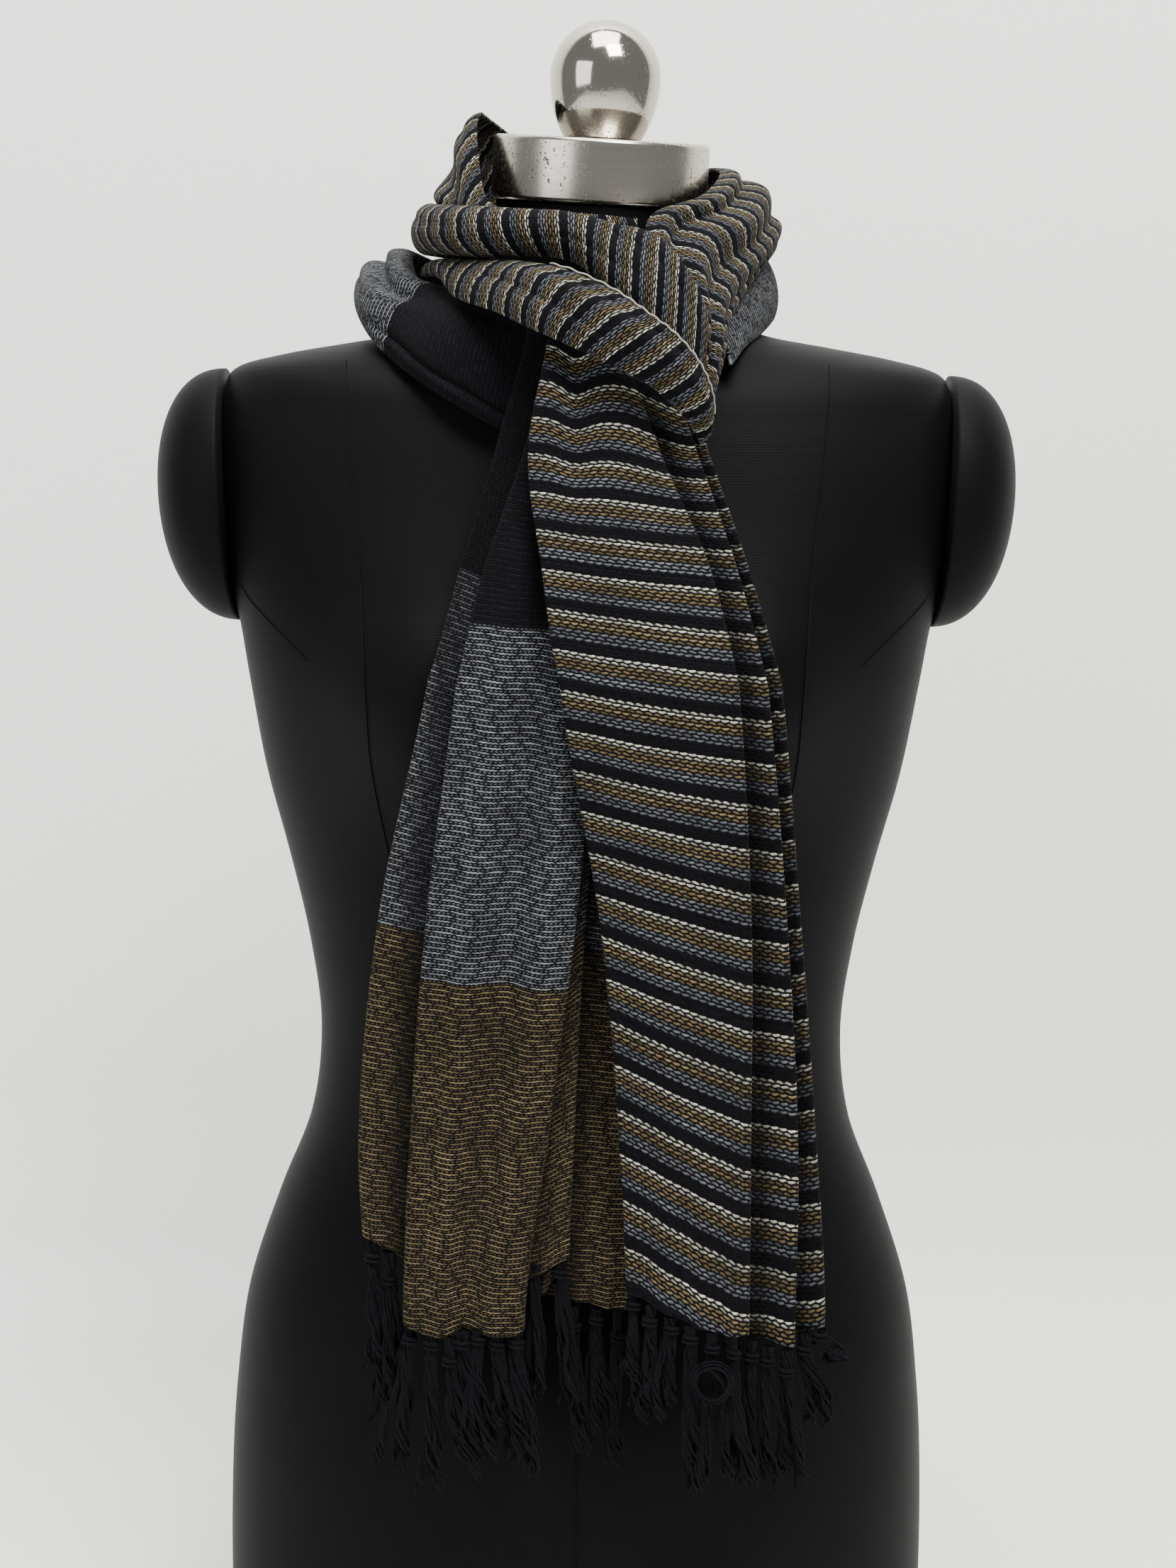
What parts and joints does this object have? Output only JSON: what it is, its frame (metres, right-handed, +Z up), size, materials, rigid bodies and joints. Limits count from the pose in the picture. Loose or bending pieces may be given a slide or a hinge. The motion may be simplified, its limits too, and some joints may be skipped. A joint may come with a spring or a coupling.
{
  "type": "wool stole on limbless dress form",
  "caption": "Striped wool stole with fringed ends, looped round the neck of a plain limbless dress form with a steel neck cap and ball.",
  "frame": {"origin": "centre of the flat bottom of the dress form", "axes": "+Z up, the front faces -Y, +X is the viewer's right"},
  "size_m": [0.385, 0.2797, 0.787],
  "materials": {
    "form_jersey": "smooth charcoal jersey with a fine rib and a slight sheen",
    "neck_steel": "polished steel, lightly pitted",
    "stole_stripes": "wool weave with narrow weft stripes of cream, ochre and blue-grey on black",
    "stole_blocks": "wool weave in broad blocks of black, grey and ochre",
    "stole_fringe": "loose black wool yarn, knotted"
  },
  "bodies": {
    "root": {"torso": "form_jersey", "shoulder_cap_left": "form_jersey", "shoulder_cap_right": "form_jersey", "neck_cap": "neck_steel", "neck_ball": "neck_steel", "neck_collar": "stole_stripes", "neck_folds_right": "stole_stripes", "neck_wrap_back": "stole_stripes", "neck_roll_front": "stole_stripes", "loop_band": "stole_stripes", "shoulder_band_left": "stole_blocks", "shoulder_band_back": "stole_blocks", "shoulder_band_right": "stole_blocks", "tail_left": "stole_blocks", "tail_right": "stole_stripes", "fringe_left": "stole_fringe", "fringe_right": "stole_fringe"}
  },
  "joints": []
}
